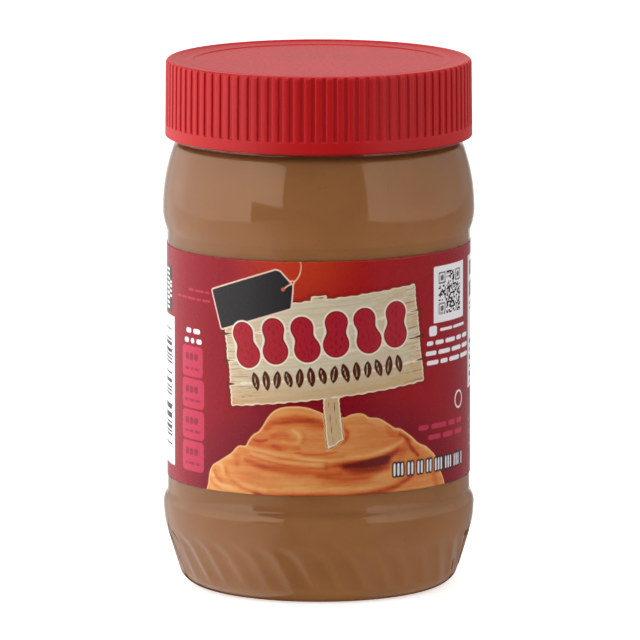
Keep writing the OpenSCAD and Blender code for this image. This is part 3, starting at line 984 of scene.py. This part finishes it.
def heap_colour(w, place):
    """The heap of spread: its tone, streaked along the folds, through a row of colours from dark to light."""
    streak = w.noise(place, 1.0, 4.0, 0.6, stretch=(0.1, 0.75, 1))
    tones = w.add("ShaderNodeValToRGB")
    w.feed(tones.inputs[0], w.math("MULTIPLY_ADD", w.own("tone"), 0.4, w.fade(streak, 0.3, 0.7, 0.5, 0.66)))
    stops = ((0.0, (112, 34, 30)), (0.2, (168, 64, 36)), (0.4, (208, 100, 50)), (0.58, (218, 130, 70)),
             (0.78, (230, 158, 92)), (1.0, (242, 200, 144)))
    fill_ramp(tones.color_ramp, [(at, shade(*tint)) for at, tint in stops])
    return tones.outputs[0]


def board_wood(w, place):
    """Pale wood, its grain along the planks, browner towards the ends and the bottom."""
    turn = w.add("ShaderNodeMapping")
    w.feed(turn.inputs["Vector"], place)
    turn.inputs["Rotation"].default_value = (0, 0, -BOARD_TURN)
    along = w.split(turn.outputs[0])
    grain = w.noise(turn.outputs[0], 1.0, 4.0, 0.65, stretch=(0.09, 1.5, 1))
    stain = w.noise(turn.outputs[0], 1.0, 3.0, 0.6, stretch=(0.2, 0.4, 1))
    streaks = w.noise(turn.outputs[0], 1.0, 2.0, 0.5, stretch=(0.14, 2.6, 1))
    from_middle = w.math("ABSOLUTE", w.math("SUBTRACT", along[0], (BOARD_LEFT + BOARD_RIGHT) / 2))
    stained = w.math("MULTIPLY", w.fade(stain, 0.42, 0.66), w.fade(from_middle, 8.0, 24.0, 0.05, 0.55))
    streaked = w.math("MULTIPLY", w.fade(streaks, 0.56, 0.64), w.fade(from_middle, 14.0, 24.0, 0.0, 0.6))
    wood = w.mix(w.fade(grain, 0.3, 0.7), shade(222, 210, 184), shade(208, 192, 160))
    wood = w.mix(w.fade(along[1], 50.0, 57.0, 0.7, 0.0), wood, shade(206, 164, 112))
    wood = w.mix(stained, wood, shade(206, 158, 106))
    return w.mix(streaked, wood, shade(140, 92, 58))


def random_cells(w, u, v, left, right, low, high, step_u, step_v):
    """Mask of dark cells in a field between two corners, about one cell in two at random."""
    cell = w.add("ShaderNodeCombineXYZ")
    w.feed(cell.inputs[0], w.math("FLOOR", w.math("DIVIDE", u, step_u)))
    w.feed(cell.inputs[1], w.math("FLOOR", w.math("DIVIDE", v, step_v)))
    noise = w.add("ShaderNodeTexWhiteNoise", noise_dimensions="2D")
    w.feed(noise.inputs["Vector"], cell.outputs[0])
    mask = w.math("GREATER_THAN", noise.outputs[0], 0.52)
    for value, test, edge in ((u, "GREATER_THAN", left), (u, "LESS_THAN", right),
                              (v, "GREATER_THAN", low), (v, "LESS_THAN", high)):
        mask = w.math("MULTIPLY", mask, w.math(test, value, edge))
    return mask


def printed_film():
    """The label's print, one ink over another, under a glossy film."""
    mat, w, shader = material("printed_film")
    place = w.own("place", "Vector")
    u, v, _ = w.split(place)
    paper = shade(244, 240, 242)

    # Heap of spread with a pale edge, then the board with a shadow and a pale edge, and its cracks
    colour = w.ink(red_field(w, u, v), "heap", shade(246, 190, 130), shift=0.05)
    colour = w.ink(colour, "heap", heap_colour(w, place), shift=-0.3, soft=0.25)
    colour = w.ink(colour, "board", shade(92, 12, 20), shift=0.2, strength=0.7)
    colour = w.ink(colour, "board", shade(244, 222, 190))
    colour = w.ink(colour, "board", board_wood(w, place), shift=-0.34, soft=0.15)
    colour = w.ink(colour, "gaps", shade(104, 40, 26), soft=0.1)

    # Tag with a pale edge, string and eye
    colour = w.ink(colour, "tag", shade(240, 206, 190), shift=0.36)
    colour = w.ink(colour, "tag", shade(46, 43, 44))
    colour = w.ink(colour, "string", shade(240, 190, 156), soft=0.08)
    colour = w.ink(colour, "eye", shade(206, 100, 88), soft=0.15)

    # Pods with a pale and a dark edge, and kernels
    colour = w.ink(colour, "pods", shade(250, 228, 210), shift=0.5)
    colour = w.ink(colour, "pods", shade(110, 16, 30), shift=0.08)
    colour = w.ink(colour, "pods", shade(176, 34, 48), shift=-0.16)
    colour = w.ink(colour, "net", shade(122, 16, 34), strength=0.8)
    colour = w.ink(colour, "kernels", shade(84, 34, 20), soft=0.1)

    # Small panels, white print and what is ruled on it
    colour = w.ink(colour, "pink", shade(220, 66, 100), strength=0.6)
    colour = w.ink(colour, "marks", shade(134, 24, 52), strength=0.8, soft=0.2)
    colour = w.ink(colour, "dark", shade(44, 34, 38), soft=0.2)
    colour = w.ink(colour, "white", paper)
    squares = random_cells(w, u, v, 32.8, 43.05, 68.47, 78.72, 0.41, 0.41)
    colour = w.mix(squares, colour, shade(40, 38, 42))
    colour = w.ink(colour, "clear", paper, soft=0.05)
    colour = w.ink(colour, "ruled", shade(60, 56, 58), strength=0.9)
    stripes = random_cells(w, u, v, -80.0, -47.5, 34.6, 60.6, 200.0, 0.43)
    colour = w.mix(stripes, colour, shade(40, 38, 40))

    w.feed(shader.inputs["Base Color"], colour)
    mask, _ = relief(w, 300.0, 0.0)
    w.feed(shader.inputs["Roughness"], w.fade(mask, 0.3, 0.7, 0.24, 0.3))
    shader.inputs["Specular IOR Level"].default_value = 0.18
    return mat


# ---------------------------------------------------------------- stage, light and camera

def stage():
    """A pale floor that bends up, along a quarter circle, into the backdrop. It stays out of reflections,
    and it puts no light or shadow on the jar."""
    reach, bend_from, bend_r = 4000, 3000, 800
    across = np.array([-reach, 0, reach])
    bend = np.linspace(0, np.pi / 2, 16)
    depth = np.concatenate([[-reach, 0, 2000], bend_from + bend_r * np.sin(bend), [bend_from + bend_r]])
    height = np.concatenate([[0, 0, 0], bend_r * (1 - np.cos(bend)), [reach]])
    points = np.stack(np.broadcast_arrays(across, depth[:, None], height[:, None]), axis=-1)
    floor = new_mesh("floor", points.reshape(-1, 3), sheet_faces(len(depth), len(across)))
    mat, _, shader = material("pale_floor")
    shader.inputs["Base Color"].default_value = (0.9, 0.9, 0.9, 1)
    shader.inputs["Roughness"].default_value = 0.8
    shader.inputs["Emission Color"].default_value = (1, 1, 1, 1)
    shader.inputs["Emission Strength"].default_value = 0.55
    floor.data.materials.append(mat)
    floor.visible_glossy = False
    floor.visible_diffuse = False
    floor.visible_shadow = False


def glow_wall(name, corners, axis, stops):
    """An upright glowing wall through four corners. Its brightness runs smoothly through the stops,
    (place along the axis, brightness), and cameras don't see it."""
    wall = new_mesh(name, np.array(corners) / MM, [[0, 1, 2, 3]])
    mat, w, shader = material(name)
    at = w.split(w.add("ShaderNodeTexCoord").outputs["Object"])[axis]
    low, high = stops[0][0], stops[-1][0]
    most = max(glow for _, glow in stops)
    fall = w.add("ShaderNodeValToRGB")
    fall.color_ramp.interpolation = "EASE"
    w.feed(fall.inputs[0], w.math("DIVIDE", w.math("SUBTRACT", at, low), high - low))
    fill_ramp(fall.color_ramp, [((x - low) / (high - low), (glow / most,) * 3 + (1,)) for x, glow in stops])
    shader.inputs["Base Color"].default_value = (0, 0, 0, 1)
    shader.inputs["Specular IOR Level"].default_value = 0.0
    w.feed(shader.inputs["Emission Color"], fall.outputs[0])
    shader.inputs["Emission Strength"].default_value = most
    wall.data.materials.append(mat)
    wall.visible_camera = False
    wall.visible_shadow = False


def side_wall(name, x, y0, y1, z0, z1, stops):
    """A glowing wall at one side, along Y."""
    glow_wall(name, [(x, y0, z0), (x, y1, z0), (x, y1, z1), (x, y0, z1)], 1, stops)


def soft_lamp(name, place, size, power, mirrored=False):
    """A square lamp aimed at the jar. It stays out of reflections unless asked."""
    target = Vector((0, 0, 0.06))
    data = bpy.data.lights.new(name, "AREA")
    data.size, data.energy = size, power
    lamp = bpy.data.objects.new(name, data)
    lamp.location = place
    lamp.rotation_euler = (target - Vector(place)).to_track_quat("-Z", "Y").to_euler()
    lamp.visible_glossy = mirrored
    bpy.context.collection.objects.link(lamp)


def lighting():
    """A bright wall of light on the left, a weaker one on the right, a dim one behind and a lamp overhead,
    in a dim room that is dark towards the camera. Each side's wall goes on, dimmer, below the floor."""
    side, back, tall, deep = 0.8, 2.1, 1.0, -3.0
    left = [(-1.6, 2.5), (-1.0, 2.9), (-0.6, 3.0), (-0.12, 2.5), (0.39, 1.7), (1.05, 0.95), (back, 0.5)]
    left_bounce = [(-2.0, 0.0), (-1.3, 0.6), (-0.7, 1.2), (-0.26, 1.4), (0.14, 1.5), (0.7, 1.1), (back, 0.55)]
    right = [(-1.1, 1.9), (-0.77, 2.0), (-0.54, 1.7), (0.0, 1.05), (0.67, 0.5), (back, 0.25)]
    right_bounce = [(-1.3, 0.0), (-0.7, 0.3), (0.0, 0.35), (0.67, 0.35), (back, 0.35)]
    behind = [(-side, 0.7), (-0.35, 0.95), (0.0, 0.74), (0.35, 0.95), (side, 0.35)]
    side_wall("left_light", -side, -0.67, back, 0.0, tall, left)
    side_wall("left_light_front", -side, -1.6, -0.67, 0.21, tall, left)
    side_wall("left_bounce", -side, -2.0, back, deep, 0.0, left_bounce)
    side_wall("right_light", side, -1.1, back, 0.0, tall, right)
    side_wall("right_bounce", side, -1.3, back, deep, 0.0, right_bounce)
    corners = [(-side, back, -0.5), (side, back, -0.5), (side, back, 1.2), (-side, back, 1.2)]
    glow_wall("back_light", corners, 0, behind)
    soft_lamp("top_light", (0, 0.1, 1.5), 1.6, 10.5, mirrored=True)
    soft_lamp("left_fill", (-1.05, -0.25, 0.95), 1.0, 1.5)
    soft_lamp("right_fill", (1.05, -0.3, 0.95), 1.0, 4.0)
    world = bpy.data.worlds.new("room")
    bpy.context.scene.world = world
    world.use_nodes = True
    room = world.node_tree.nodes["Background"]
    room.inputs["Color"].default_value = (1, 1, 1, 1)
    room.inputs["Strength"].default_value = 0.14
    world.cycles_visibility.glossy = False


def camera():
    """A long lens in front of the jar, aimed at its middle and looking a little down."""
    distance, rise = 2.3, math.radians(8.9)
    aim = np.array([0.0003, 0.0, 0.06366])
    data = bpy.data.cameras.new("camera")
    data.lens, data.sensor_width = 537.0, 36.0
    data.clip_start, data.clip_end = 0.05, 30.0
    cam = bpy.data.objects.new("camera", data)
    cam.location = aim + distance * np.array([0, -math.cos(rise), math.sin(rise)])
    cam.rotation_euler = (math.pi / 2 - rise, 0, 0)
    bpy.context.collection.objects.link(cam)
    bpy.context.scene.camera = cam


def finish_piece(piece, mat, node):
    """Gives a piece its material, hangs it under the root body and hides the part of the model that it
    replaces.
    """
    piece.data.materials.append(mat)
    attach(piece, "root")
    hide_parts(node)


camera()
lighting()
stage()
finish_piece(clear_wall(), clear_plastic(), "jar")
finish_piece(contents(), spread(), "peanut_butter")
finish_piece(ribbed_cap(), cap_plastic(), "cap")
finish_piece(wrap_label(), printed_film(), "label")
bpy.context.scene.view_settings.view_transform = "Standard"
